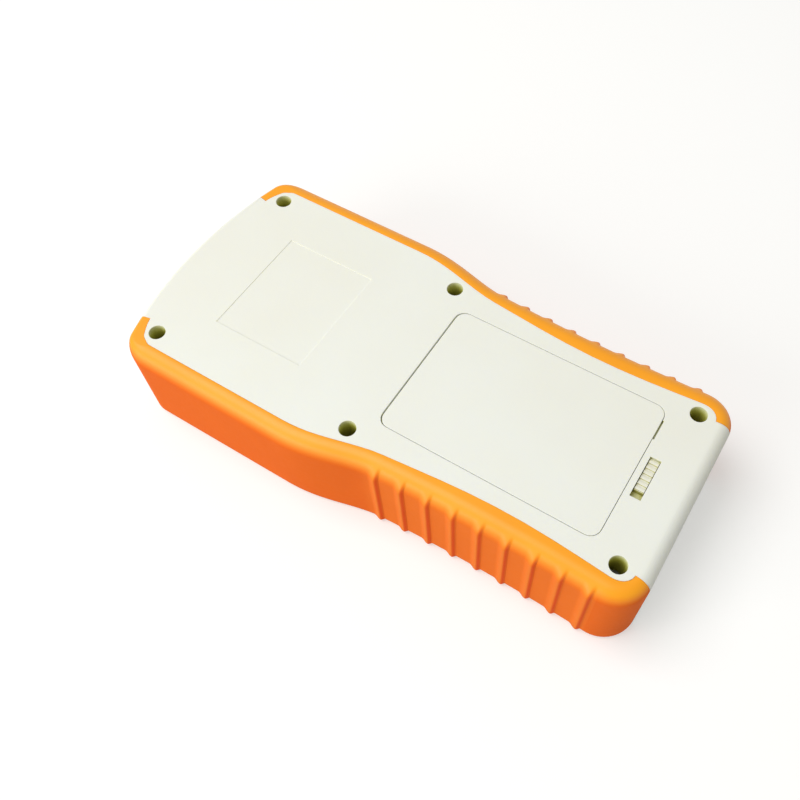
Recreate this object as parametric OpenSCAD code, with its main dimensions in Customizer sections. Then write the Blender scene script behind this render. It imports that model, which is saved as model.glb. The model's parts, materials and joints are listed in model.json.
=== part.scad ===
// Handheld instrument enclosure, lying on its front face with its back up.
// Two moulded half shells are screwed together from the back, and a soft ribbed grip
// wraps each long side. The back has a battery door, held shut by a sliding latch.
// +Y points to the display end, +Z points out of the back.

/* [Overall] */
// Length over the two ends
body_len = 220; // [210:1:232]
// Width over the grips at the display end
head_w = 107; // [103:1:112]
// Thickness from the front face to the back face
body_h = 40; // [38:1:44]

/* [Outline] */
// Half width over the grips at the narrowest point of the handle
waist_half_w = 45.2; // [43.5:0.1:47]
// Place of the narrowest point along the length
waist_y = -62; // [-68:1:-56]
// Extra half width of the handle at one flare span from the waist
waist_flare = 1.6; // [0.8:0.1:2.4]
// Flare span
flare_span = 52; // [44:1:60]
// Place where the handle starts to widen into the head
neck_y = -10; // [-14:1:-6]
// Length of the widening
neck_len = 40; // [34:1:46]
// Radius of the arched display end
end_arc_r = 170; // [150:5:200]
// Corner radius at the display end
head_corner_r = 11; // [10:0.5:12.5]
// Corner radius at the handle end
foot_corner_r = 13; // [11.5:0.5:14.5]

/* [Shells] */
// Wall thickness of both shells
wall = 2.5; // [2.2:0.1:2.8]
// Radius of the back edge at the handle end
foot_round_r = 5; // [4:0.5:6]
// Radius of the front edge at the handle end
foot_front_r = 2; // [1:0.5:3]
// Radius of the back and front edges at the display end
end_round_r = 2; // [1:0.5:3]
// Height of the tongue at the parting line
tongue_h = 1.5; // [1:0.1:2]
// Thickness of the tongue
tongue_t = 0.9; // [0.7:0.1:1]
// Clearance round the tongue
tongue_fit = 0.1; // [0.05:0.05:0.15]
// Width of the shallow label recess in the back
label_w = 48.4; // [40:0.2:56]
// Length of the label recess
label_len = 40; // [32:1:46]
// Middle of the label recess along the length
label_y = 58.5; // [52:0.5:64]
// Depth of the label recess
label_depth = 0.2; // [0.1:0.05:0.5]

/* [Grips] */
// Thickness of a grip over the side wall
grip_t = 3.6; // [3:0.1:4]
// Thickness of the lips on the front and back faces
lip_t = 3; // [2.4:0.1:3.4]
// Gap between a grip and the shells
grip_fit = 0.15; // [0.1:0.05:0.25]
// Radius of the rounded back edge of a grip
grip_round_r = 6.5; // [5.5:0.1:7]
// Radius of the front edge of a grip
grip_front_r = 2; // [1.5:0.1:2.5]
// Width of the back lip beside the head
lip_w = 7.1; // [6.6:0.1:7.6]
// Extra width of the back lip beside the handle
lip_swell = 2; // [1:0.1:2.6]
// Place of the widest back lip along the length
swell_y = -56; // [-62:1:-50]
// Distance over which the extra lip width fades
swell_span = 60; // [50:1:66]
// Width of the back lip at the display-end tip of a grip
tip_lip_w = 4.3; // [4.2:0.1:5]
// Distance along the outline over which the back lip widens from that tip
tip_run = 16; // [12:1:20]
// Width of the back lip at the handle-end tip of a grip
foot_lip_w = 6.1; // [5.6:0.1:6.8]
// Width of the front lip
front_lip_w = 6; // [5:0.1:7]
// Distance of the display-end tip of a grip from the middle
grip_tip_x = 37.5; // [35:0.5:39]
// Angle of the foot corner that a grip covers
foot_wrap_deg = 84; // [76:1:88]
// Place of the crest of the first rib along the length
rib_first_y = -10.4; // [-14:0.1:-7]
// Spacing of the ribs
rib_pitch = 10.4; // [9:0.1:13]
// Length of the gentle slope on the display side of a rib
rib_rise = 3.4; // [2.4:0.1:4]
// Length of the steep slope on the handle side of a rib
rib_fall = 1.3; // [0.8:0.1:1.8]
// Height of a rib
rib_h = 1.2; // [0.8:0.1:1.8]

/* [Case screws] */
// Distance of the head screws from the middle
head_screw_x = 40.2; // [39:0.1:41]
// Distance of the head screws from the display end
head_screw_end = 15.3; // [14.5:0.1:17]
// Distance of the neck screws from the middle
neck_screw_x = 37.1; // [36:0.1:38]
// Place of the neck screws along the length
neck_screw_y = 7.4; // [6.8:0.1:12]
// Distance of the foot screws from the middle
foot_screw_x = 33.2; // [32:0.1:34]
// Distance of the foot screws from the handle end
foot_screw_end = 12.6; // [11.6:0.1:14]
// Radius of the sunk hole over a screw head
sink_r = 3.25; // [3:0.05:3.5]
// Wall round a sunk hole
post_wall = 1.6; // [1.2:0.1:1.8]
// Thickness of plastic under a screw head
seat_t = 6; // [4:0.5:8]
// Radius of the screw thread
screw_r = 1.5; // [1.25:0.05:1.6]
// Radius of the screw head
screw_head_r = 2.75; // [2.4:0.05:2.85]
// Height of the screw head
screw_head_h = 2; // [1.6:0.1:2.4]
// Length of the screw under its head
screw_len = 16; // [12:1:20]

/* [Battery door] */
// Width of the door
door_w = 58.6; // [55:0.2:62]
// Length of the door
door_len = 86.9; // [85.5:0.1:92]
// Thickness of the door plate
door_t = 2; // [1.6:0.1:2.2]
// Distance of the foot edge of the door from the handle end
door_end = 22.8; // [21.6:0.1:25]
// Corner radius of the door
door_corner_r = 4.2; // [3.6:0.1:4.6]
// Gap at the sides and the foot end of the door
door_gap = 0.2; // [0.15:0.05:0.4]
// Gap at the hinge end of the door
door_hinge_gap = 0.6; // [0.4:0.05:0.8]
// Ledge that carries the door edges
door_ledge = 1.1; // [1:0.05:1.6]
// Length of the fingernail slot beside the door
pry_len = 8.9; // [7:0.1:12]
// Width of the fingernail slot
pry_w = 0.5; // [0.4:0.1:1.2]
// Middle of the fingernail slot across the width
pry_x = 19.85; // [16:0.05:21]
// Diameter of the cells that the bay takes
cell_d = 18.6; // [17.4:0.1:18.7]
// Length of the battery bay
bay_len = 77.7; // [74:0.1:79]

/* [Latch] */
// Length of the latch slot
latch_slot_len = 17.4; // [16:0.1:20]
// Width of the latch slot
latch_slot_w = 4.1; // [3.6:0.1:4.6]
// Distance from the foot edge of the door to the middle of the latch slot
latch_drop = 4.6; // [4.4:0.1:5.4]
// Length of the ridged latch button
button_len = 13.9; // [12:0.1:15]
// Number of finger ridges on the button
button_ridges = 6; // [4:1:8]
// Running gap round the sliding latch
latch_fit = 0.3; // [0.25:0.05:0.35]

/* [Front] */
// Width of the display opening
view_w = 72; // [60:1:74]
// Height of the display opening
view_len = 48; // [40:1:52]
// Middle of the display opening along the length
view_y = 52; // [50:0.5:56]
// Thickness of the clear display window
window_t = 1.6; // [1.2:0.1:1.8]
// Border of the window that sits on its ledge
window_border = 2.5; // [2:0.1:3]
// Depth of the keypad recess in the front face
front_recess = 0.8; // [0.5:0.1:1]
// Margin of the keypad recess from the outside of the grips
recess_margin = 9; // [8.2:0.1:10.5]

/* [Hidden] */
$fn = 48;
eps = 0.02;
shell_color = [0.93, 0.93, 0.89];
grip_color = [0.95, 0.49, 0.12];
steel_color = [0.72, 0.72, 0.72];
window_color = [0.75, 0.82, 0.85, 0.5];

// Outline of the side, worked out along the length
half_len = body_len / 2;
head_half_w = head_w / 2;
function smooth(t) = let (c = max(0, min(1, t))) c * c * (3 - 2 * c);
function mix(a, b, t) = a + (b - a) * t;
function handle_x(y) = waist_half_w + waist_flare * pow((y - waist_y) / flare_span, 2);
function side_x(y) = mix(handle_x(y), head_half_w, smooth((y - neck_y) / neck_len));
function side_slope(y) = (side_x(y + eps) - side_x(y - eps)) / (2 * eps);
function side_lip(y) = lip_w + lip_swell * pow(cos(90 * min(1, abs(y - swell_y) / swell_span)), 2);

// Centres of the end arc and of the corners on the +X side
end_c_y = half_len - end_arc_r;
head_c_x = head_half_w - head_corner_r;
head_c_y = end_c_y + sqrt(pow(end_arc_r - head_corner_r, 2) - pow(head_c_x, 2));
head_start_deg = asin(head_c_x / (end_arc_r - head_corner_r));
tip_deg = asin(grip_tip_x / end_arc_r);
foot_c_y = -half_len + foot_corner_r;
foot_tilt = atan(-side_slope(foot_c_y));
foot_y = foot_c_y + foot_corner_r * sin(foot_tilt);
foot_c_x = side_x(foot_y) - foot_corner_r * cos(foot_tilt);

// Width of the back lip at a distance along the outline from the display-end tip
function arc_len(r, deg) = r * deg * PI / 180;
head_run = arc_len(end_arc_r, head_start_deg - tip_deg);
function tip_lip(run) = mix(tip_lip_w, lip_w, smooth(run / tip_run));

// A station is [x, y, outward normal x, outward normal y, back lip width, back edge radius, rib height]
function end_station(a) = [
    end_arc_r * sin(a), end_c_y + end_arc_r * cos(a), sin(a), cos(a),
    tip_lip(arc_len(end_arc_r, a - tip_deg)), end_round_r, 0
];
function head_station(t) =
    let (a = mix(head_start_deg, 90, t))
    [
        head_c_x + head_corner_r * sin(a), head_c_y + head_corner_r * cos(a), sin(a), cos(a),
        tip_lip(head_run + arc_len(head_corner_r, a - head_start_deg)),
        mix(end_round_r, grip_round_r, smooth(t)), 0
    ];
function side_station(y, rib = 0) =
    let (s = side_slope(y), k = 1 / sqrt(1 + s * s))
    [side_x(y), y, k, -s * k, side_lip(y), grip_round_r, rib];
function foot_station(t) =
    let (a = mix(-foot_tilt, foot_wrap_deg, t))
    [
        foot_c_x + foot_corner_r * cos(a), foot_c_y - foot_corner_r * sin(a), cos(a), -sin(a),
        mix(side_lip(foot_y), foot_lip_w, smooth(t)), mix(grip_round_r, foot_round_r, smooth(t)), 0
    ];
function steps(n) = [for (i = [1:n]) i / n];

corner_n = 7;
neck_top_y = neck_y + neck_len;
tip_station = end_station(tip_deg);
end_arc = [for (i = [1:2]) end_station(mix(tip_deg, head_start_deg, i / 3))];
head_arc = [for (i = [0:corner_n]) head_station(i / corner_n)];
foot_arc = [for (i = [0:corner_n]) foot_station(i / corner_n)];
head_side = [for (t = steps(2)) side_station(mix(head_c_y, neck_top_y, t))];
handle_n = 8;
// The shells go on past both ends of a grip by the gap between them
fit_deg = grip_fit * 180 / PI;
shell_tip = end_station(tip_deg - fit_deg / end_arc_r);
shell_foot = foot_station(1 + fit_deg / foot_corner_r / (foot_wrap_deg + foot_tilt));
shell_path = concat(
    [shell_tip], end_arc, head_arc, head_side,
    [for (t = steps(10)) side_station(mix(neck_top_y, neck_y, t))],
    [for (i = [1:handle_n - 1]) side_station(mix(neck_y, foot_y, i / handle_n))],
    foot_arc, [shell_foot]
);

// Ribs repeat from the neck to the foot corner
rib_end_room = 2.4;
rib_lead = 1;
rib_n = 1 + floor((rib_first_y - foot_y - rib_end_room) / rib_pitch);
rib_steps = [1, 0.6, 0.25, 0, -0.6, -1];
function rib_profile(t) = t > 0 ? pow(cos(90 * t), 2) : cos(90 * t);
function rib_station(i, t) =
    side_station(
        rib_first_y - i * rib_pitch + t * (t > 0 ? rib_rise : rib_fall), rib_h * rib_profile(t)
    );
grip_path = concat(
    [tip_station], end_arc, head_arc, head_side,
    [for (t = steps(9)) side_station(mix(neck_top_y, rib_first_y + rib_rise + rib_lead, t))],
    [for (i = [0:rib_n - 1], t = rib_steps) rib_station(i, t)],
    foot_arc
);

// Levels along Z
part_z = body_h / 2;
skin_z = body_h - wall;
back_rebate_z = body_h - lip_t - grip_fit;
front_rebate_z = lip_t + grip_fit;
floor_z = front_recess + wall;
seat_z = part_z + seat_t;
door_z = body_h - door_t;
door_seat_gap = 0.15;
ledge_z = door_z - door_seat_gap;

// Flat outlines of the shells: the sides under the grips, and the two ends between the grips
grip_seat = grip_t + grip_fit;
function inset_pts(d) = [for (s = shell_path) [s[0] - d * s[2], s[1] - d * s[3]]];
function lip_pts(d) = [for (s = shell_path) [s[0] - (s[4] + d) * s[2], s[1] - (s[4] + d) * s[3]]];
function both_sides(pts) = concat(pts, [for (i = [len(pts) - 1:-1:0]) [-pts[i].x, pts[i].y]]);
module mirrored_polygon(pts) polygon(both_sides(pts));

end_pad_depth = 14;
function pad_pts(s, turn, inset) =
    let (
        x = s[0] - turn * inset * s[3],
        y = s[1] + turn * inset * s[2]
    )
    [
        [x + end_pad_depth * s[2], y + end_pad_depth * s[3]],
        [x - end_pad_depth * s[2], y - end_pad_depth * s[3]]
    ];
module end_pads(inset) {
    intersection() {
        mirrored_polygon(pad_pts(shell_tip, 1, inset));
        translate([0, end_c_y]) circle(r = end_arc_r - inset, $fn = 360);
    }
    intersection() {
        mirrored_polygon(pad_pts(shell_foot, -1, inset));
        translate([-head_half_w, -half_len + inset]) square([head_w, half_len]);
    }
}
module shell_profile(inset) {
    mirrored_polygon(inset_pts(grip_seat + inset));
    end_pads(inset);
}
module back_face_profile(inset) {
    mirrored_polygon(lip_pts(grip_fit + inset));
    end_pads(inset);
}
module front_face_profile(inset) {
    mirrored_polygon(inset_pts(front_lip_w + grip_fit + inset));
    end_pads(inset);
}
module slab(z0, z1) translate([0, 0, z0]) linear_extrude(z1 - z0) children();

// Side view of the whole body, with the round edges at the handle end
function corner_pts(cx, cy, r, a0, n = 10) =
    [for (i = [0:n]) [cx + r * cos(a0 + 90 * i / n), cy + r * sin(a0 + 90 * i / n)]];
side_view = concat(
    [[half_len, 0], [half_len, body_h]],
    corner_pts(-half_len + foot_round_r, body_h - foot_round_r, foot_round_r, 90),
    corner_pts(-half_len + foot_front_r, foot_front_r, foot_front_r, 180)
);
module side_envelope() {
    rotate([90, 0, 90]) translate([0, 0, -head_half_w]) linear_extrude(head_w) polygon(side_view);
}

// Ring that takes the sharp edge off the arched display end, with its round side at height zero
end_edge_section = concat(
    corner_pts(end_arc_r - end_round_r, -end_round_r, end_round_r, 0),
    [[end_arc_r - end_round_r, 1], [end_arc_r + 1, 1], [end_arc_r + 1, -end_round_r]]
);
module end_edge() translate([0, end_c_y, 0]) rotate_extrude($fn = 360) polygon(end_edge_section);

// Rectangle with round corners between two corner points
function round_rect(x0, y0, x1, y1, r) = concat(
    corner_pts(x1 - r, y1 - r, r, 0, 6), corner_pts(x0 + r, y1 - r, r, 90, 6),
    corner_pts(x0 + r, y0 + r, r, 180, 6), corner_pts(x1 - r, y0 + r, r, 270, 6)
);
module box(x0, x1, y0, y1, z0, z1) translate([x0, y0, z0]) cube([x1 - x0, y1 - y0, z1 - z0]);
module wide_box(half_w, y0, y1, z0, z1) box(-half_w, half_w, y0, y1, z0, z1);
module mirror_x() {
    children();
    mirror([1, 0, 0]) children();
}

// Screws
screw_pts = [for (side = [1, -1]) each [
    [side * head_screw_x, half_len - head_screw_end],
    [side * neck_screw_x, neck_screw_y],
    [side * foot_screw_x, -half_len + foot_screw_end]
]];
post_r = sink_r + post_wall;
boss_r = 4;
clear_r = screw_r + 0.2;
pilot_r = screw_r + 0.05;
module at_screws() for (p = screw_pts) translate([p.x, p.y, 0]) children();
module tube_z(r, z0, z1) translate([0, 0, z0]) cylinder(r = r, h = z1 - z0);

// Battery bay, with a trough behind its foot end for the catch of the door
door_half_w = door_w / 2;
door_foot_y = -half_len + door_end;
door_top_y = door_foot_y + door_len;
hinge_edge_y = door_top_y + door_hinge_gap;
foot_edge_y = door_foot_y - door_gap;
bay_half_w = door_half_w - door_ledge;
bay_wall = 1.8;
bay_rim = 0.4;
bay_out_half_w = door_half_w + door_gap + bay_rim;
bay_top_y = door_top_y - 1.5;
bay_foot_y = bay_top_y - bay_len;
cell_room = 0.3;
bay_floor_z = ledge_z - cell_d - cell_room;
lane_pitch = cell_d + 0.2;
lane_rib_w = 1;
lane_rib_h = 1.8;
lane_rib_end = 12;
trough_top_y = bay_foot_y - bay_wall;
trough_foot_y = foot_edge_y + 1.3;
trough_half_w = bay_half_w - 1.2;
trough_depth = 7.5;
trough_z = ledge_z - trough_depth;

// Hinge tabs under the skin at the head end of the door
tab_x = lane_pitch / 2;
tab_w = 7;
tab_t = 1.2;
tab_reach = 2.8;
tab_root = 2.6;
tab_top_z = skin_z - latch_fit;
tab_slot_fit = 0.4;
tab_swing = 6.3;

// Latch: a carriage under the skin, a button in the slot and two bolts that reach the catch
latch_y = door_foot_y - latch_drop;
latch_end_gap = 0.1;
latch_travel = latch_slot_len - button_len - 2 * latch_end_gap;
button_x1 = latch_slot_len / 2 - latch_end_gap;
button_x0 = button_x1 - button_len;
button_side_gap = 0.25;
button_recess = 0.7;
ridge_h = 0.35;
carriage_t = 1.2;
carriage_w = latch_slot_w + 3.2;
carriage_cover = 0.6;
carriage_top_z = skin_z - latch_fit;
carriage_z = carriage_top_z - carriage_t;
rail_t = 1.3;
rail_lip = 1.4;
rail_z = carriage_z - latch_fit;
rail_half_len = latch_slot_len / 2 + latch_travel + 1.5;
bolt_w = 4;
bolt_xs = [button_x0 - 0.6, button_x1 - bolt_w - 1.5];
catch_t = 1.4;
catch_y = trough_foot_y + 0.8;
catch_depth = 5;
catch_fit = 0.4;
bolt_tip_y = catch_y + catch_t + catch_fit;

module back_form() difference() {
    intersection() {
        union() {
            slab(part_z, back_rebate_z) shell_profile(0);
            slab(part_z, body_h) back_face_profile(0);
        }
        side_envelope();
    }
    translate([0, 0, body_h]) end_edge();
}
module back_hollow() {
    slab(part_z - eps, back_rebate_z - wall) shell_profile(wall);
    slab(part_z - eps, skin_z) back_face_profile(wall);
}
module tongue_ring(fit) slab(part_z - tongue_h - fit, part_z + eps) difference() {
    shell_profile((wall - tongue_t) / 2 - fit);
    shell_profile((wall + tongue_t) / 2 + fit);
}
module bay_block() {
    wide_box(bay_out_half_w, trough_top_y, hinge_edge_y + bay_rim,
        bay_floor_z - bay_wall, skin_z + eps);
    wide_box(bay_out_half_w, foot_edge_y - bay_rim, trough_top_y + eps,
        trough_z - bay_wall, skin_z + eps);
}
module bay_cuts() {
    slab(ledge_z, body_h + 1) polygon(round_rect(
        -door_half_w - door_gap, foot_edge_y, door_half_w + door_gap, hinge_edge_y,
        door_corner_r + door_gap
    ));
    difference() {
        wide_box(bay_half_w, bay_foot_y, bay_top_y, bay_floor_z, ledge_z + eps);
        for (side = [1, -1]) translate([side * lane_pitch / 2, 0, 0])
            wide_box(lane_rib_w / 2, bay_foot_y + lane_rib_end, bay_top_y - lane_rib_end,
                bay_floor_z - 1, bay_floor_z + lane_rib_h);
    }
    wide_box(trough_half_w, trough_foot_y, trough_top_y, trough_z, ledge_z + eps);
}
module tab_slots() mirror_x() translate([tab_x, 0, 0]) {
    wide_box(tab_w / 2 + tab_slot_fit, bay_top_y - eps, hinge_edge_y + bay_rim + eps,
        tab_top_z - tab_t - tab_swing, skin_z);
    wide_box(tab_w / 2 + tab_slot_fit, bay_top_y - eps, hinge_edge_y, skin_z - eps, ledge_z + eps);
}
module latch_guides() {
    wide_box(rail_half_len, foot_edge_y - bay_rim - rail_lip, foot_edge_y - bay_rim + eps,
        rail_z - rail_t, rail_z);
    guide_y = latch_y - carriage_w / 2 - latch_fit;
    wide_box(rail_half_len, guide_y - rail_t, guide_y, rail_z - rail_t, skin_z + eps);
    wide_box(rail_half_len, guide_y - eps, guide_y + rail_lip, rail_z - rail_t, rail_z);
}
module latch_cuts() {
    wide_box(latch_slot_len / 2, latch_y - latch_slot_w / 2, latch_y + latch_slot_w / 2,
        skin_z - 1, body_h + 1);
    box(bolt_xs[0] - latch_travel - catch_fit, bolt_xs[1] + bolt_w + catch_fit,
        foot_edge_y - bay_rim - eps, trough_foot_y + eps, rail_z, carriage_top_z + latch_fit);
    translate([pry_x, 0, 0])
        wide_box(pry_len / 2, foot_edge_y - pry_w, foot_edge_y + eps, ledge_z, body_h + 1);
}
contact_w = 11;
contact_t = 0.4;
contact_tab_w = 3;
contact_fit = 0.2;
contact_z = bay_floor_z + cell_d / 2;
function lane_x(i) = (i - 2) * lane_pitch;
module contact_slots() for (i = [1:3]) translate([lane_x(i), 0, 0]) {
    wide_box(contact_tab_w / 2 + contact_fit, bay_top_y - contact_t - contact_fit, bay_top_y,
        bay_floor_z - bay_wall - 1, bay_floor_z + eps);
    wide_box(contact_tab_w / 2 + contact_fit, bay_foot_y, bay_foot_y + contact_t + contact_fit,
        bay_floor_z - bay_wall - 1, bay_floor_z + eps);
}

module back_shell() color(shell_color) difference() {
    union() {
        difference() {
            back_form();
            back_hollow();
        }
        bay_block();
        latch_guides();
        at_screws() tube_z(post_r, part_z, skin_z + eps);
        tongue_ring(0);
    }
    bay_cuts();
    tab_slots();
    latch_cuts();
    contact_slots();
    at_screws() tube_z(sink_r, seat_z, body_h + 1);
    at_screws() tube_z(clear_r, part_z - 1, seat_z + eps);
    wide_box(label_w / 2, label_y - label_len / 2, label_y + label_len / 2,
        body_h - label_depth, body_h + 1);
}

// Front shell
standoff_r = 2.8;
standoff_h = 6;
standoff_pilot_r = 1;
standoff_x = 43;
standoff_ys = [view_y - 28.5, view_y + 28.5];
tail_slot_len = 20;
tail_slot_w = 1.6;
tail_slot_y = neck_y + 26;
window_fit = 0.2;
window_corner_r = 2;
module window_outline(grow) polygon(round_rect(
    -view_w / 2 - grow, view_y - view_len / 2 - grow, view_w / 2 + grow, view_y + view_len / 2 + grow,
    window_corner_r
));
module at_standoffs() mirror_x() for (y = standoff_ys) translate([standoff_x, y, 0]) children();
module front_form() difference() {
    intersection() {
        union() {
            slab(front_rebate_z, part_z) shell_profile(0);
            slab(0, part_z) front_face_profile(0);
        }
        side_envelope();
    }
    mirror([0, 0, 1]) end_edge();
}
module front_hollow() {
    slab(front_rebate_z + wall, part_z + 1) shell_profile(wall);
    slab(floor_z, part_z + 1) front_face_profile(wall);
}
module recess_profile() intersection() {
    mirrored_polygon(inset_pts(recess_margin));
    translate([-head_half_w, -half_len + recess_margin]) square([head_w, body_len]);
}
module front_shell() color(shell_color) difference() {
    union() {
        difference() {
            front_form();
            front_hollow();
        }
        at_screws() tube_z(boss_r, floor_z - eps, part_z);
        at_standoffs() tube_z(standoff_r, floor_z - eps, floor_z + standoff_h);
    }
    tongue_ring(tongue_fit);
    slab(-1, front_recess) recess_profile();
    slab(-1, front_recess + window_t) window_outline(window_border + window_fit);
    slab(-1, floor_z + 1) window_outline(0);
    wide_box(tail_slot_len / 2, tail_slot_y - tail_slot_w / 2, tail_slot_y + tail_slot_w / 2,
        -1, floor_z + 1);
    at_screws() tube_z(pilot_r, seat_z - screw_len - 1, part_z + 1);
    at_standoffs() tube_z(standoff_pilot_r, floor_z + 1, floor_z + standoff_h + 1);
}

// Section of a grip as [depth inwards from the outline, height], from the back lip round to it again
round_n = 6;
front_n = 3;
rib_fade_deg = 28;
rib_full_deg = 68;
function rib_share(a) = smooth((a - rib_fade_deg) / (rib_full_deg - rib_fade_deg));
function grip_section(s) =
    let (lip = s[4], r = min(s[5], lip - 0.4), rib = s[6], f = grip_front_r)
    concat(
        [[lip, body_h]],
        [for (k = [0:round_n]) let (a = 90 * k / round_n)
            [r - r * sin(a) - rib * rib_share(a), body_h - r + r * cos(a)]],
        [for (k = [0:front_n]) let (a = 90 * k / front_n)
            [f - f * cos(a) - rib * (1 - smooth(a / 90)), f - f * sin(a)]],
        [[front_lip_w, 0], [front_lip_w, lip_t], [grip_t, lip_t]],
        [[grip_t, body_h - lip_t], [lip, body_h - lip_t]]
    );
module sweep(path) {
    sections = [for (s = path) grip_section(s)];
    m = len(sections[0]);
    n = len(path);
    // The end faces are cut into triangles that stay inside the C shape of the section
    wall_top = round_n + 1;
    wall_foot = round_n + 2;
    cap = concat(
        [[m - 1, 0, 1], [m - 1, 1, m - 2]],
        [for (k = [1:round_n]) [m - 2, k, k + 1]],
        [[m - 2, wall_top, wall_foot], [m - 2, wall_foot, m - 3]],
        [for (k = [wall_foot:m - 5]) [m - 3, k, k + 1]]
    );
    points = [for (i = [0:n - 1], q = sections[i])
        [path[i][0] - q.x * path[i][2], path[i][1] - q.x * path[i][3], q.y]];
    skin = [for (i = [0:n - 2], j = [0:m - 1]) let (a = i * m + j, b = i * m + (j + 1) % m)
        each [[a, b, a + m], [b, b + m, a + m]]];
    polyhedron(points, concat(
        skin,
        [for (c = cap) [c[2], c[1], c[0]]],
        [for (c = cap) [for (j = c) (n - 1) * m + j]]
    ));
}
module right_grip() color(grip_color) sweep(grip_path);
module left_grip() color(grip_color) mirror([1, 0, 0]) sweep(grip_path);

// Battery door
module catch_plate() difference() {
    box(bolt_xs[0] - latch_travel - 3, bolt_xs[1] + bolt_w + 3, catch_y, catch_y + catch_t,
        door_z - catch_depth, door_z + eps);
    for (x = bolt_xs) {
        box(x - catch_fit, x + bolt_w + catch_fit, catch_y - 1, catch_y + catch_t + 1,
            door_z - catch_depth - 1, carriage_top_z + catch_fit);
        box(x - latch_travel - catch_fit, x, catch_y - 1, catch_y + catch_t + 1,
            carriage_z - catch_fit, carriage_top_z + catch_fit);
    }
}
module hinge_tabs() mirror_x() translate([tab_x, 0, 0]) {
    wide_box(tab_w / 2, door_top_y - tab_root, door_top_y + tab_reach, tab_top_z - tab_t, tab_top_z);
    wide_box(tab_w / 2, door_top_y - tab_root, door_top_y, tab_top_z - eps, door_z + eps);
}
door_rib_h = 2;
module battery_door() color(shell_color) {
    slab(door_z, body_h)
        polygon(round_rect(-door_half_w, door_foot_y, door_half_w, door_top_y, door_corner_r));
    catch_plate();
    hinge_tabs();
    mirror_x() translate([lane_pitch / 2, 0, 0])
        wide_box(lane_rib_w / 2, bay_foot_y + lane_rib_end, bay_top_y - lane_rib_end,
            door_z - door_rib_h, door_z + eps);
}

// Latch slider
module latch_slider() color(shell_color) {
    box(-latch_slot_len / 2 - carriage_cover, latch_slot_len / 2 + latch_travel + carriage_cover,
        latch_y - carriage_w / 2, latch_y + carriage_w / 2, carriage_z, carriage_top_z);
    button_half_w = latch_slot_w / 2 - button_side_gap;
    box(button_x0, button_x1, latch_y - button_half_w, latch_y + button_half_w,
        carriage_top_z - eps, body_h - button_recess - ridge_h);
    ridge_pitch = button_len / button_ridges;
    for (i = [0:button_ridges - 1])
        box(button_x0 + (i + 0.1) * ridge_pitch, button_x0 + (i + 0.6) * ridge_pitch,
            latch_y - button_half_w, latch_y + button_half_w, carriage_top_z, body_h - button_recess);
    for (x = bolt_xs)
        box(x, x + bolt_w, latch_y, bolt_tip_y, carriage_z, carriage_top_z);
}

// Screws with a cross recess
module case_screws() color(steel_color) at_screws() difference() {
    union() {
        tube_z(screw_head_r, seat_z, seat_z + screw_head_h);
        tube_z(screw_r, seat_z - screw_len, seat_z + eps);
    }
    for (turn = [0, 90]) rotate(turn)
        box(-1.5, 1.5, -0.35, 0.35, seat_z + 0.7, seat_z + screw_head_h + 1);
}

module display_window() color(window_color)
    slab(front_recess, front_recess + window_t) window_outline(window_border);

// Battery contacts: a leaf on the end wall of the bay with a tail through the floor
module contact_leaf(i, wall_y, dir) translate([lane_x(i), wall_y, 0]) {
    y0 = dir > 0 ? 0 : -contact_t;
    wide_box(contact_w / 2, y0, y0 + contact_t, contact_z - contact_w / 2, contact_z + contact_w / 2);
    wide_box(contact_tab_w / 2, y0, y0 + contact_t, bay_floor_z - bay_wall - 3, contact_z);
}
spring_len = 12;
spring_turns = 4;
spring_base_r = 4.4;
spring_tip_r = 3;
wire_r = 0.45;
wire_sides = 6;
turn_steps = 10;
module coil() {
    n = spring_turns * turn_steps;
    points = [for (i = [0:n], j = [0:wire_sides - 1])
        let (
            t = i / n, a = 360 * i / turn_steps, b = 360 * j / wire_sides,
            r = mix(spring_base_r, spring_tip_r, t) + wire_r * cos(b)
        )
        [r * cos(a), r * sin(a), mix(wire_r / 2, spring_len - wire_r, t) + wire_r * sin(b)]];
    m = wire_sides;
    skin = [for (i = [0:n - 1], j = [0:m - 1]) let (a = i * m + j, b = i * m + (j + 1) % m)
        each [[a, b, a + m], [b, b + m, a + m]]];
    polyhedron(points, concat(skin, [[for (j = [m - 1:-1:0]) j], [for (j = [0:m - 1]) n * m + j]]));
}
// Odd lanes have the spring at the foot end, the even lane at the head end
function spring_at_foot(i) = i % 2 == 1;
module spring_contact(i) color(steel_color) {
    wall_y = spring_at_foot(i) ? bay_foot_y : bay_top_y;
    dir = spring_at_foot(i) ? 1 : -1;
    contact_leaf(i, wall_y, dir);
    translate([lane_x(i), wall_y + dir * contact_t, contact_z]) rotate([-90 * dir, 0, 0]) coil();
}
button_contact_r = 3;
button_contact_h = 1;
module plate_contact(i) color(steel_color) {
    wall_y = spring_at_foot(i) ? bay_top_y : bay_foot_y;
    dir = spring_at_foot(i) ? -1 : 1;
    contact_leaf(i, wall_y, dir);
    translate([lane_x(i), wall_y + dir * (contact_t - eps), contact_z]) rotate([-90 * dir, 0, 0])
        cylinder(r1 = button_contact_r, r2 = button_contact_r - button_contact_h / 2, h = button_contact_h);
}

back_shell();
front_shell();
left_grip();
right_grip();
battery_door();
latch_slider();
case_screws();
display_window();
spring_contact(1);  // spring_contact_1
spring_contact(2);  // spring_contact_2
spring_contact(3);  // spring_contact_3
plate_contact(1);  // plate_contact_1
plate_contact(2);  // plate_contact_2
plate_contact(3);  // plate_contact_3
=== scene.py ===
import json
import math

import bmesh
import bpy
from mathutils import Matrix, Vector


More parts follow.
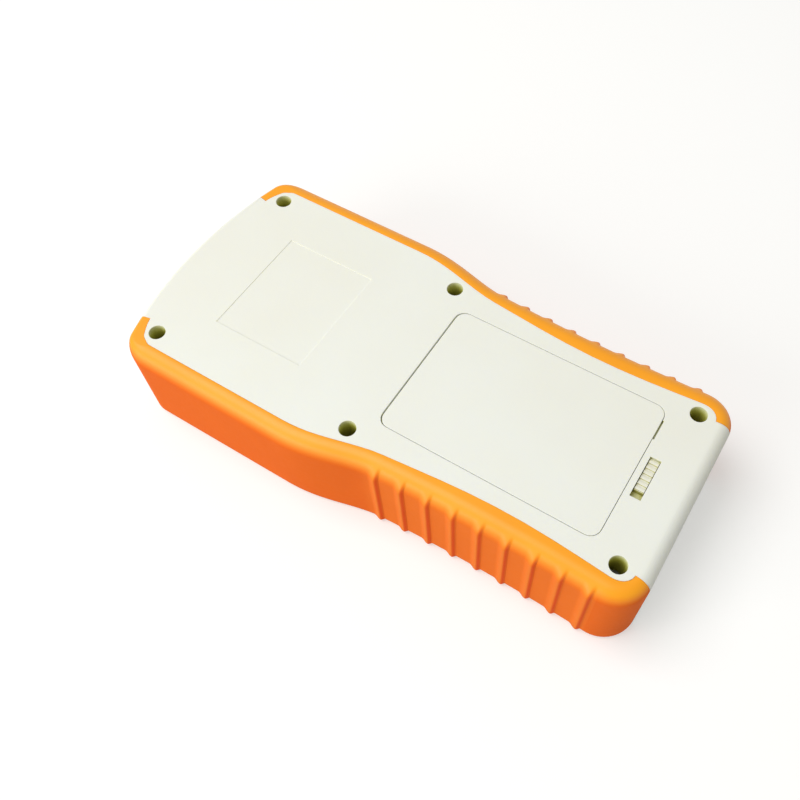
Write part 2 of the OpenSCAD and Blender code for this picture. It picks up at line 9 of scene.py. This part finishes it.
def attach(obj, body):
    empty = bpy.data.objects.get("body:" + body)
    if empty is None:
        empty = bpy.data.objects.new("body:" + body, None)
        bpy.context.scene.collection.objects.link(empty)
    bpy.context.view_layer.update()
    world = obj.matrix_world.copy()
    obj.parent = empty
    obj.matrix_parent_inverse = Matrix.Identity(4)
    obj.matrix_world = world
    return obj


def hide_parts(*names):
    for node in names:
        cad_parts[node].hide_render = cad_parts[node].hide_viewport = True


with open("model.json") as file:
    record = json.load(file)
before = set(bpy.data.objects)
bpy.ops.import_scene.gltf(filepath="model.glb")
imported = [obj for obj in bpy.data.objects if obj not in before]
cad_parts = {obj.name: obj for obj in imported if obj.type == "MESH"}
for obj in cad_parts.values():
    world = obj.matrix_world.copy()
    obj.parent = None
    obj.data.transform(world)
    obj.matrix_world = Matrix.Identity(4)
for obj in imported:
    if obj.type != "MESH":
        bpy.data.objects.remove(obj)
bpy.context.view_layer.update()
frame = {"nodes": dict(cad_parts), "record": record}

# Metres in a millimetre
MM = 0.001

# Outline of the case in millimetres, as the solids have it
BODY_H = 40.0
HALF_LEN = 110.0
HEAD_HALF_W = 53.5
WAIST_HALF_W = 45.2
WAIST_Y = -62.0
WAIST_FLARE = 1.6
FLARE_SPAN = 52.0
NECK_Y = -10.0
NECK_LEN = 40.0
END_ARC_R = 170.0
HEAD_CORNER_R = 11.0
FOOT_CORNER_R = 13.0

# Grips in millimetres and degrees, as the solids have them
GRIP_T = 3.6
LIP_T = 3.0
GRIP_ROUND_R = 6.5
GRIP_FRONT_R = 2.0
LIP_W = 7.1
LIP_SWELL = 2.0
SWELL_Y = -56.0
SWELL_SPAN = 60.0
LIP_FLAT_MIN = 0.4
TIP_LIP_W = 4.3
TIP_RUN = 16.0
FOOT_LIP_W = 6.1
END_ROUND_R = 2.0
FOOT_ROUND_R = 5.0
FRONT_LIP_W = 6.0
GRIP_TIP_X = 37.5
FOOT_WRAP_DEG = 84.0
RIB_FIRST_Y = -10.4
RIB_PITCH = 10.4
RIB_RISE = 3.4
RIB_FALL = 1.3
RIB_H = 1.2
RIB_FADE_DEG = 28.0
RIB_FULL_DEG = 68.0
RIB_COUNT = 9

# Finish that the solids leave out, in millimetres and degrees
LIP_EDGE_R = 0.3
LIP_PRESS = 0.13
DOOR_EDGE_R = 0.15
SHELL_EDGE_R = 0.1
WELD_GAP = 0.001
FLAT_DEG = 0.4
BEVEL_DEG = 32.0
BEVEL_STEPS = 2
SHARP_DEG = 40.0

# Painted light and shade on the grips: shares of the rounded edge where the painted lip light fades,
# shares of the lit lip's colour painted on the ribbed wall, millimetres
LIP_LIGHT_FADE = 0.35
LIP_LIGHT_FADE_SPAN = 0.55
RIB_PAINTED_LIGHT = 0.13
RISE_PAINTED_LIGHT = 0.12
PAINTED_LIGHT_RUN = 8.0

# Steps of the grips' meshes, along the outline and round the section
END_STEPS = 12
CORNER_STEPS = 28
HEAD_STEPS = 24
NECK_STEPS = 44
HANDLE_STEPS = 260
EDGE_STEPS = 3
ROUND_STEPS = 18
WALL_STEPS = 10
FRONT_STEPS = 8
SLOPE_STEP = 0.02

# Camera of the photograph, in millimetres, degrees and pixels
CAMERA_AT = (-145.2, -104.0, 304.1)
CAMERA_TARGET = (-10.5, -16.8, 40.0)
CAMERA_ROLL_DEG = 1.48
CAMERA_NEAR = 10.0
FOCAL_PX = 850.5
CENTRE_PX = (444.0, 404.0)
IMAGE_PX = 800.0
SENSOR_MM = 36.0

# Floor and light, in metres and watts
FLOOR_HALF = 3.0
FLOOR_DROP = 0.0001
FLOOR_GREY = (0.62, 0.62, 0.62, 1.0)
FLOOR_GLOW = 0.42
WORLD_LIGHT = 0.38
WORLD_TINT = (1.0, 0.98, 0.88, 1.0)
BACKDROP = 1.0
BACKDROP_TINT = (1.0, 1.0, 1.0, 1.0)
LAMP_AIM = (0, 0, 0.02)
KEY_AT = (-0.38, 0.85, 2.0)
KEY_SIZE = (1.4, 1.4)
KEY_WATTS = 28.5
SIDE_AT = (-0.98, 0.42, 0.48)
SIDE_SIZE = (0.85, 0.5)
SIDE_WATTS = 5.2

# Colours, and ramps of a share to a colour
PLAIN = (1.0, 1.0, 1.0)
CREAM = (0.862, 0.882, 0.834)
CREAM_WARM = (0.846, 0.85, 0.778)
LATCH_WARM = (0.82, 0.8, 0.66)
# Painted light: the grips' orange as a shaded wall colour and a paler, lit lip colour
RUBBER_SHADED_WALL = (0.9, 0.155, 0.002)
RUBBER_LIT_LIP = (1.0, 0.385, 0.006)
# Painted shade: darker, redder tint for the rib creases
RUBBER_CREASE_SHADE = (1.0, 0.6, 0.5)
RUBBER_CLOUD = (0.96, 0.93, 0.9)
RUBBER_MOTTLE = (0.92, 0.92, 0.92)
ZINC = (0.16, 0.155, 0.14)
SPRING_NICKEL = (0.78, 0.76, 0.71)
PLATE_NICKEL = (0.8, 0.78, 0.72)
WINDOW_TINT = (0.93, 0.96, 0.97, 1.0)
RUBBER_ROUGH = [
    (0.0, (1.0, 1.0, 1.0)),
    (0.5, (0.5, 0.5, 0.5)),
    (0.9, (0.42, 0.42, 0.42)),
]
# Painted shade: ramps from ambient occlusion to darker, olive colours in holes, gaps and recesses of
# the case and door
RECESS_SHADE = [
    (0.0, (0.12, 0.1, 0.01)),
    (0.1, (0.32, 0.29, 0.03)),
    (0.25, (0.58, 0.57, 0.11)),
    (0.5, (0.8, 0.79, 0.44)),
    (0.75, PLAIN),
]
# Painted shade for the latch, darkened also by the case's slot walls around it
LATCH_RECESS_SHADE = [
    (0.0, (0.3, 0.27, 0.03)),
    (0.3, (0.66, 0.64, 0.24)),
    (0.65, PLAIN),
]


def clamp01(t):
    return max(0.0, min(1.0, t))


def smooth(t):
    c = clamp01(t)
    return c * c * (3 - 2 * c)


def mix(a, b, t):
    return a + (b - a) * t


# Materials
class Nodes:
    """The node tree of a material or a world, with short calls to add and join nodes."""

    def __init__(self, owner):
        owner.use_nodes = True
        self.owner = owner
        self.tree = owner.node_tree
        self.tree.nodes.clear()

    def add(self, kind, values=None, **settings):
        node = self.tree.nodes.new(kind)
        for key, value in settings.items():
            setattr(node, key, value)
        for key, value in (values or {}).items():
            node.inputs[key].default_value = value
        return node

    def join(self, start, end):
        self.tree.links.new(start, end)

    def surface(self, shader, output="ShaderNodeOutputMaterial"):
        self.join(shader, self.add(output).inputs["Surface"])
        return self.owner

    def noise(self, scale, detail=2.0, roughness=0.5):
        values = {"Scale": scale, "Detail": detail, "Roughness": roughness}
        node = self.add("ShaderNodeTexNoise", values)
        place = self.add("ShaderNodeTexCoord").outputs["Object"]
        self.join(place, node.inputs["Vector"])
        return node.outputs["Fac"]

    def painted(self, attribute):
        return self.add("ShaderNodeAttribute", attribute_name=attribute).outputs["Fac"]

    def ramp(self, factor, stops):
        node = self.add("ShaderNodeValToRGB")
        ramp = node.color_ramp
        while len(ramp.elements) < len(stops):
            ramp.elements.new(0.5)
        for element, (place, color) in zip(ramp.elements, stops):
            element.position = place
            element.color = (*color, 1.0)
        self.join(factor, node.inputs["Fac"])
        return node.outputs["Color"]

    def spread(self, factor, low, high):
        node = self.add("ShaderNodeMapRange", {"To Min": low, "To Max": high})
        self.join(factor, node.inputs["Value"])
        return node.outputs["Result"]

    def multiply(self, a, b):
        node = self.add("ShaderNodeMix", data_type="RGBA", blend_type="MULTIPLY")
        node.inputs["Factor"].default_value = 1.0
        self.join(a, node.inputs["A"])
        self.join(b, node.inputs["B"])
        return node.outputs["Result"]

    def bump(self, height, strength, distance, normal=None):
        node = self.add("ShaderNodeBump", {"Strength": strength, "Distance": distance})
        self.join(height, node.inputs["Height"])
        if normal is not None:
            self.join(normal, node.inputs["Normal"])
        return node.outputs["Normal"]

    def blend(self, factor, first, second):
        node = self.add("ShaderNodeMixShader")
        for start, end in zip((factor, first, second), node.inputs):
            self.join(start, end)
        return node.outputs["Shader"]

    def seen(self):
        """1 for what the camera sees directly, in a reflection or through a clear piece, else 0."""
        rays = self.add("ShaderNodeLightPath").outputs
        result = rays["Is Camera Ray"]
        for kind in ("Is Glossy Ray", "Is Transmission Ray"):
            either = self.add("ShaderNodeMath", operation="MAXIMUM")
            self.join(result, either.inputs[0])
            self.join(rays[kind], either.inputs[1])
            result = either.outputs["Value"]
        return result


def moulded_plastic(name, pale, warm, shade_ramp, rough, alone=True):
    """Moulded plastic with a fine spark-eroded grain, and painted shade: darker and olive inside
    narrow recesses, holes and gaps, from ambient occlusion.
    """
    s = Nodes(bpy.data.materials.new(name))
    tint = s.ramp(s.noise(scale=14.0, detail=3.0), [(0.35, pale), (0.7, warm)])
    # Painted shade: ambient occlusion turns the colour darker and olive in recesses, holes and gaps
    shade = s.add("ShaderNodeAmbientOcclusion", {"Distance": 0.009}, samples=12, only_local=alone)
    depth = s.ramp(shade.outputs["AO"], shade_ramp)
    values = {
        "Specular IOR Level": 0.4,
        "Subsurface Weight": 0.3,
        "Subsurface Radius": (1.0, 0.95, 0.7),
        "Subsurface Scale": 0.0008,
    }
    bsdf = s.add("ShaderNodeBsdfPrincipled", values)
    satin = s.spread(s.noise(scale=700.0), low=rough - 0.06, high=rough + 0.06)
    grain_height = s.noise(scale=2600.0, detail=3.0, roughness=0.6)
    grain = s.bump(grain_height, strength=0.3, distance=0.00005)
    waves = s.bump(s.noise(scale=60.0), strength=0.08, distance=0.0004, normal=grain)
    s.join(s.multiply(tint, depth), bsdf.inputs["Base Color"])
    s.join(satin, bsdf.inputs["Roughness"])
    s.join(waves, bsdf.inputs["Normal"])
    return s.surface(bsdf.outputs["BSDF"])


def soft_rubber(name, shaded_wall, lip):
    """Soft grip rubber: painted light, paler towards the lips that face the light; painted shade,
    darker and redder in the rib creases; satin, with a matt grain.
    """
    s = Nodes(bpy.data.materials.new(name))
    # Painted light: the lit lip colour on the lips and rounded edges; painted shade: a darker, redder
    # colour in the rib creases
    painted_lip_light = s.painted("lip")
    painted_crease_shade = s.ramp(s.painted("crease_shade"), [(0.0, PLAIN), (1.0, RUBBER_CREASE_SHADE)])
    color = s.multiply(s.ramp(painted_lip_light, [(0.0, shaded_wall), (1.0, lip)]), painted_crease_shade)
    cloud = s.ramp(s.noise(scale=45.0, detail=4.0), [(0.3, RUBBER_CLOUD), (0.7, PLAIN)])
    mottle = s.ramp(s.noise(scale=500.0), [(0.3, RUBBER_MOTTLE), (0.7, PLAIN)])
    grain_height = s.noise(scale=2100.0, detail=3.0, roughness=0.65)
    grain = s.bump(grain_height, strength=0.35, distance=0.00006)
    bsdf = s.add("ShaderNodeBsdfPrincipled", {"Specular IOR Level": 0.42})
    s.join(s.multiply(color, cloud), bsdf.inputs["Base Color"])
    s.join(s.multiply(s.ramp(painted_lip_light, RUBBER_ROUGH), mottle), bsdf.inputs["Roughness"])
    s.join(grain, bsdf.inputs["Normal"])
    return s.surface(bsdf.outputs["BSDF"])


def plated_metal(name, color, rough):
    """Plated sheet or wire, with fine drawing marks and slight clouding."""
    s = Nodes(bpy.data.materials.new(name))
    dull = tuple(0.86 * c for c in color)
    cloud = s.ramp(s.noise(scale=300.0, detail=4.0), [(0.3, dull), (0.7, color)])
    satin = s.spread(s.noise(scale=1500.0, detail=4.0), low=rough - 0.08, high=rough + 0.1)
    marks = s.bump(s.noise(scale=3000.0), strength=0.15, distance=0.00003)
    bsdf = s.add("ShaderNodeBsdfPrincipled", {"Metallic": 1.0})
    s.join(cloud, bsdf.inputs["Base Color"])
    s.join(satin, bsdf.inputs["Roughness"])
    s.join(marks, bsdf.inputs["Normal"])
    return s.surface(bsdf.outputs["BSDF"])


def clear_plastic(name):
    """Clear polished window with faint rub marks."""
    s = Nodes(bpy.data.materials.new(name))
    values = {"Base Color": WINDOW_TINT, "Transmission Weight": 1.0, "IOR": 1.49}
    bsdf = s.add("ShaderNodeBsdfPrincipled", values)
    rubbed = s.spread(s.noise(scale=120.0, detail=6.0, roughness=0.7), low=0.01, high=0.06)
    waves = s.bump(s.noise(scale=25.0), strength=0.03, distance=0.0005)
    s.join(rubbed, bsdf.inputs["Roughness"])
    s.join(waves, bsdf.inputs["Normal"])
    return s.surface(bsdf.outputs["BSDF"])


MATERIALS = {
    "case_plastic": moulded_plastic("case_cream", CREAM, CREAM_WARM, RECESS_SHADE, rough=0.6),
    "door_plastic": moulded_plastic("door_cream", CREAM, CREAM_WARM, RECESS_SHADE, rough=0.6),
    "latch_plastic": moulded_plastic(
        "latch_cream", CREAM_WARM, LATCH_WARM, LATCH_RECESS_SHADE, rough=0.4, alone=False
    ),
    "grip_rubber": soft_rubber("grip_orange", RUBBER_SHADED_WALL, RUBBER_LIT_LIP),
    "screw_steel": plated_metal("screw_zinc", ZINC, rough=0.5),
    "window_clear": clear_plastic("window_clear"),
    "contact_spring": plated_metal("spring_nickel", SPRING_NICKEL, rough=0.24),
    "contact_plate": plated_metal("plate_nickel", PLATE_NICKEL, rough=0.28),
}


# Outline of the case beside a grip
def side_x(y):
    handle = WAIST_HALF_W + WAIST_FLARE * ((y - WAIST_Y) / FLARE_SPAN) ** 2
    return mix(handle, HEAD_HALF_W, smooth((y - NECK_Y) / NECK_LEN))


def side_slope(y):
    return (side_x(y + SLOPE_STEP) - side_x(y - SLOPE_STEP)) / (2 * SLOPE_STEP)


END_C_Y = HALF_LEN - END_ARC_R
HEAD_C_X = HEAD_HALF_W - HEAD_CORNER_R
HEAD_C_Y = END_C_Y + math.sqrt((END_ARC_R - HEAD_CORNER_R) ** 2 - HEAD_C_X ** 2)
HEAD_START = math.asin(HEAD_C_X / (END_ARC_R - HEAD_CORNER_R))
TIP_ANGLE = math.asin(GRIP_TIP_X / END_ARC_R)
FOOT_C_Y = -HALF_LEN + FOOT_CORNER_R
FOOT_TILT = math.atan(-side_slope(FOOT_C_Y))
FOOT_Y = FOOT_C_Y + FOOT_CORNER_R * math.sin(FOOT_TILT)
FOOT_C_X = side_x(FOOT_Y) - FOOT_CORNER_R * math.cos(FOOT_TILT)


# Lips and ribs of a grip
def tip_lip(run):
    return mix(TIP_LIP_W, LIP_W, smooth(run / TIP_RUN))


def side_lip(y):
    away = min(1.0, abs(y - SWELL_Y) / SWELL_SPAN)
    return LIP_W + LIP_SWELL * math.cos(math.pi / 2 * away) ** 2


def crest_offset(y):
    """Distance of y from the nearest rib's crest, positive towards the display end."""
    crests = [RIB_FIRST_Y - i * RIB_PITCH for i in range(RIB_COUNT)]
    return min((y - crest for crest in crests), key=abs)


def rib_height(y):
    """Height of the ribs at y: round crests, steep on the side of the handle end."""
    away = crest_offset(y)
    t = min(1.0, away / RIB_RISE if away > 0 else -away / RIB_FALL)
    crest = math.cos(math.pi / 2 * t)
    return RIB_H * crest * (crest if away > 0 else 1.0)


def rib_painted_tone(y):
    """Shares of painted light (the lit lip colour, more on the rises that face the light) and of
    painted crease shade on the ribbed wall at y.
    """
    away = crest_offset(y)
    last_y = RIB_FIRST_Y - (RIB_COUNT - 1) * RIB_PITCH
    below_first = smooth((RIB_FIRST_Y + PAINTED_LIGHT_RUN - y) / PAINTED_LIGHT_RUN)
    above_last = smooth((y - last_y + PAINTED_LIGHT_RUN) / PAINTED_LIGHT_RUN)
    # Painted light on the rises that face the light, painted shade on the steep falls
    rise = rib_height(y) / RIB_H if away > 0 else 0.0
    crease_shade = math.sin(math.pi * clamp01(-away / RIB_FALL))
    return below_first * above_last * (RIB_PAINTED_LIGHT + RISE_PAINTED_LIGHT * rise), crease_shade


# Stations along a grip: x, y, normal x, normal y, lip width, edge radius, rib height, rib tone (shares
# of painted light and painted crease shade)
NO_RIB = (0.0, (0.0, 0.0))


def end_stations():
    """From the grip's tip along the curved display end to the corner."""
    for i in range(END_STEPS):
        a = mix(TIP_ANGLE, HEAD_START, i / END_STEPS)
        x, y = END_ARC_R * math.sin(a), END_C_Y + END_ARC_R * math.cos(a)
        lip = tip_lip(END_ARC_R * (a - TIP_ANGLE))
        yield (x, y, math.sin(a), math.cos(a), lip, END_ROUND_R, *NO_RIB)


def head_corner_stations():
    """Round the corner at the display end."""
    for i in range(CORNER_STEPS):
        t = i / CORNER_STEPS
        a = mix(HEAD_START, math.pi / 2, t)
        x, y = HEAD_C_X + HEAD_CORNER_R * math.sin(a), HEAD_C_Y + HEAD_CORNER_R * math.cos(a)
        lip = tip_lip(END_ARC_R * (HEAD_START - TIP_ANGLE) + HEAD_CORNER_R * (a - HEAD_START))
        edge = mix(END_ROUND_R, GRIP_ROUND_R, smooth(t))
        yield (x, y, math.sin(a), math.cos(a), lip, edge, *NO_RIB)


def side_stations():
    """Down the side: head, neck and ribbed handle."""
    neck_top = NECK_Y + NECK_LEN
    rib_top = RIB_FIRST_Y + RIB_RISE
    ys = [mix(HEAD_C_Y, neck_top, i / HEAD_STEPS) for i in range(HEAD_STEPS)]
    ys += [mix(neck_top, rib_top, i / NECK_STEPS) for i in range(NECK_STEPS)]
    ys += [mix(rib_top, FOOT_Y, i / HANDLE_STEPS) for i in range(HANDLE_STEPS)]
    for y in ys:
        slope = side_slope(y)
        k = 1 / math.sqrt(1 + slope * slope)
        shape = (side_lip(y), GRIP_ROUND_R, rib_height(y), rib_painted_tone(y))
        yield (side_x(y), y, k, -slope * k, *shape)


def foot_corner_stations():
    """Round the corner at the handle end, to the grip's other tip."""
    for i in range(CORNER_STEPS + 1):
        t = i / CORNER_STEPS
        a = mix(-FOOT_TILT, math.radians(FOOT_WRAP_DEG), t)
        x, y = FOOT_C_X + FOOT_CORNER_R * math.cos(a), FOOT_C_Y - FOOT_CORNER_R * math.sin(a)
        lip = mix(side_lip(FOOT_Y), FOOT_LIP_W, smooth(t))
        edge = mix(GRIP_ROUND_R, FOOT_ROUND_R, smooth(t))
        yield (x, y, math.cos(a), -math.sin(a), lip, edge, *NO_RIB)


def grip_stations():
    return [*end_stations(), *head_corner_stations(), *side_stations(), *foot_corner_stations()]


def grip_section(lip, edge, rib, tone):
    """Closed section as (depth inwards, height, share of painted lip light, share of painted crease
    shade), from the back lip on.
    """
    pale, crease_shade = tone
    points = []
    e = LIP_EDGE_R
    reach = lip + LIP_PRESS
    for k in range(EDGE_STEPS):
        a = math.pi / 2 * k / EDGE_STEPS
        points.append((reach - e + e * math.cos(a), BODY_H - e + e * math.sin(a), 1.0, 0.0))
    r = min(edge, lip - LIP_FLAT_MIN)
    for k in range(ROUND_STEPS + 1):
        t = k / ROUND_STEPS
        a = math.pi / 2 * t
        share = smooth((90 * t - RIB_FADE_DEG) / (RIB_FULL_DEG - RIB_FADE_DEG))
        z = BODY_H - r + r * math.cos(a)
        # Painted light: share of the lit lip colour, fading to the wall's share over the rounded edge
        color = mix(1.0, pale, smooth((t - LIP_LIGHT_FADE) / LIP_LIGHT_FADE_SPAN))
        points.append((r - r * math.sin(a) - rib * share, z, color, crease_shade * share))
    for k in range(1, WALL_STEPS):
        points.append((-rib, mix(BODY_H - r, GRIP_FRONT_R, k / WALL_STEPS), pale, crease_shade))
    f = GRIP_FRONT_R
    for k in range(FRONT_STEPS + 1):
        t = k / FRONT_STEPS
        a = math.pi / 2 * t
        share = 1 - smooth(t)
        depth = f - f * math.cos(a) - rib * share
        points.append((depth, f - f * math.sin(a), mix(pale, 1.0, smooth(t)), crease_shade * share))
    for k in range(EDGE_STEPS + 1):
        a = math.pi / 2 * k / EDGE_STEPS
        points.append((FRONT_LIP_W - e + e * math.sin(a), e - e * math.cos(a), 1.0, 0.0))
    top = BODY_H - LIP_T
    inner = [(FRONT_LIP_W, LIP_T), (GRIP_T, LIP_T), (GRIP_T, top), (reach, top)]
    points += [(u, z, 1.0, 0.0) for u, z in inner]
    return points


def build_grip(name, side):
    """One grip as a closed mesh, swept round the outline. side is +1 for +X and -1 for -X."""
    bm = bmesh.new()
    # Mesh attributes that carry the painted light on the lips and the painted crease shade
    lip_light_layer = bm.verts.layers.float.new("lip")
    crease_shade_layer = bm.verts.layers.float.new("crease_shade")
    rings = []
    for x, y, nx, ny, *shape in grip_stations():
        ring = []
        for u, z, color, crease_shade in grip_section(*shape):
            vert = bm.verts.new((side * (x - u * nx) * MM, (y - u * ny) * MM, z * MM))
            vert[lip_light_layer] = color
            vert[crease_shade_layer] = crease_shade
            ring.append(vert)
        rings.append(ring)
    count = len(rings[0])
    for a, b in zip(rings, rings[1:]):
        for j in range(count):
            k = (j + 1) % count
            bm.faces.new((a[j], a[k], b[k], b[j]))
    for ring in (rings[0], rings[-1]):
        cap = bm.faces.new(ring)
        bmesh.ops.triangulate(bm, faces=[cap], ngon_method="EAR_CLIP")
    bmesh.ops.recalc_face_normals(bm, faces=bm.faces)
    for face in bm.faces:
        face.smooth = True
    mesh = bpy.data.meshes.new(name)
    bm.to_mesh(mesh)
    bm.free()
    mesh.set_sharp_from_angle(angle=math.radians(SHARP_DEG))
    mesh.materials.append(MATERIALS["grip_rubber"])
    piece = bpy.data.objects.new(name, mesh)
    bpy.context.scene.collection.objects.link(piece)
    return piece


for node, side in (("right_grip", 1), ("left_grip", -1)):
    grip = build_grip("soft_" + node, side)
    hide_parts(node)
    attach(grip, "enclosure")


# Finish of the solids
def soften(node, radius):
    """Small round on the sharp edges of a solid, as a mould leaves it."""
    piece = frame["nodes"][node]
    weld = piece.modifiers.new("weld", "WELD")
    weld.merge_threshold = WELD_GAP * MM
    flat = piece.modifiers.new("flat", "DECIMATE")
    flat.decimate_type = "DISSOLVE"
    flat.angle_limit = math.radians(FLAT_DEG)
    bevel = piece.modifiers.new("edges", "BEVEL")
    bevel.width = radius * MM
    bevel.segments = BEVEL_STEPS
    bevel.limit_method = "ANGLE"
    bevel.angle_limit = math.radians(BEVEL_DEG)
    bevel.use_clamp_overlap = False


soften("battery_door", DOOR_EDGE_R)
soften("back_shell", SHELL_EDGE_R)
slot_of = {part["node"]: part["material_slot"] for part in frame["record"]["subparts"]}
for node, piece in frame["nodes"].items():
    piece.data.materials.clear()
    piece.data.materials.append(MATERIALS[slot_of[node]])


# Floor, light and camera
def build_floor():
    """Pale paper that keeps the object's shadow. Its glow is only seen, directly or in reflections."""
    s = Nodes(bpy.data.materials.new("floor_white"))
    paper = s.add("ShaderNodeBsdfDiffuse", {"Color": FLOOR_GREY})
    glow = s.add("ShaderNodeEmission", {"Strength": FLOOR_GLOW})
    dark = s.add("ShaderNodeEmission", {"Strength": 0.0})
    lift = s.blend(s.seen(), dark.outputs["Emission"], glow.outputs["Emission"])
    total = s.add("ShaderNodeAddShader")
    s.join(paper.outputs["BSDF"], total.inputs[0])
    s.join(lift, total.inputs[1])
    mesh = bpy.data.meshes.new("floor")
    h, z = FLOOR_HALF, -FLOOR_DROP
    corners = [(-h, -h, z), (h, -h, z), (h, h, z), (-h, h, z)]
    mesh.from_pydata(corners, [], [(0, 1, 2, 3)])
    mesh.materials.append(s.surface(total.outputs["Shader"]))
    floor = bpy.data.objects.new("floor", mesh)
    bpy.context.scene.collection.objects.link(floor)


def build_world():
    """Dim warm light all round, behind a white backdrop."""
    s = Nodes(bpy.data.worlds.new("studio"))
    light = s.add("ShaderNodeBackground", {"Color": WORLD_TINT, "Strength": WORLD_LIGHT})
    white = s.add("ShaderNodeBackground", {"Color": BACKDROP_TINT, "Strength": BACKDROP})
    sky = s.blend(s.seen(), light.outputs["Background"], white.outputs["Background"])
    bpy.context.scene.world = s.surface(sky, output="ShaderNodeOutputWorld")


def build_softbox(name, place, size, watts):
    data = bpy.data.lights.new(name, "AREA")
    data.shape = "RECTANGLE"
    data.size, data.size_y = size
    data.energy = watts
    lamp = bpy.data.objects.new(name, data)
    lamp.location = place
    toward = Vector(LAMP_AIM) - Vector(place)
    lamp.rotation_euler = toward.to_track_quat("-Z", "Y").to_euler()
    lamp.visible_camera = False
    bpy.context.scene.collection.objects.link(lamp)


def build_camera():
    eye, target = Vector(CAMERA_AT), Vector(CAMERA_TARGET)
    ahead = (target - eye).normalized()
    level = ahead.cross(Vector((0.0, 0.0, 1.0))).normalized()
    below = ahead.cross(level)
    roll = math.radians(CAMERA_ROLL_DEG)
    right = math.cos(roll) * level + math.sin(roll) * below
    down = -math.sin(roll) * level + math.cos(roll) * below
    data = bpy.data.cameras.new("camera")
    data.sensor_fit = "HORIZONTAL"
    data.sensor_width = SENSOR_MM
    data.lens = FOCAL_PX / IMAGE_PX * SENSOR_MM
    data.shift_x = (IMAGE_PX / 2 - CENTRE_PX[0]) / IMAGE_PX
    data.shift_y = (CENTRE_PX[1] - IMAGE_PX / 2) / IMAGE_PX
    data.clip_start = CAMERA_NEAR * MM
    camera = bpy.data.objects.new("camera", data)
    turn = Matrix((right, -down, -ahead)).transposed()
    camera.matrix_world = Matrix.Translation(eye * MM) @ turn.to_4x4()
    bpy.context.scene.collection.objects.link(camera)
    bpy.context.scene.camera = camera


build_floor()
build_world()
build_softbox("key_light", KEY_AT, KEY_SIZE, KEY_WATTS)
build_softbox("side_light", SIDE_AT, SIDE_SIZE, SIDE_WATTS)
build_camera()
bpy.context.scene.view_settings.view_transform = "Standard"
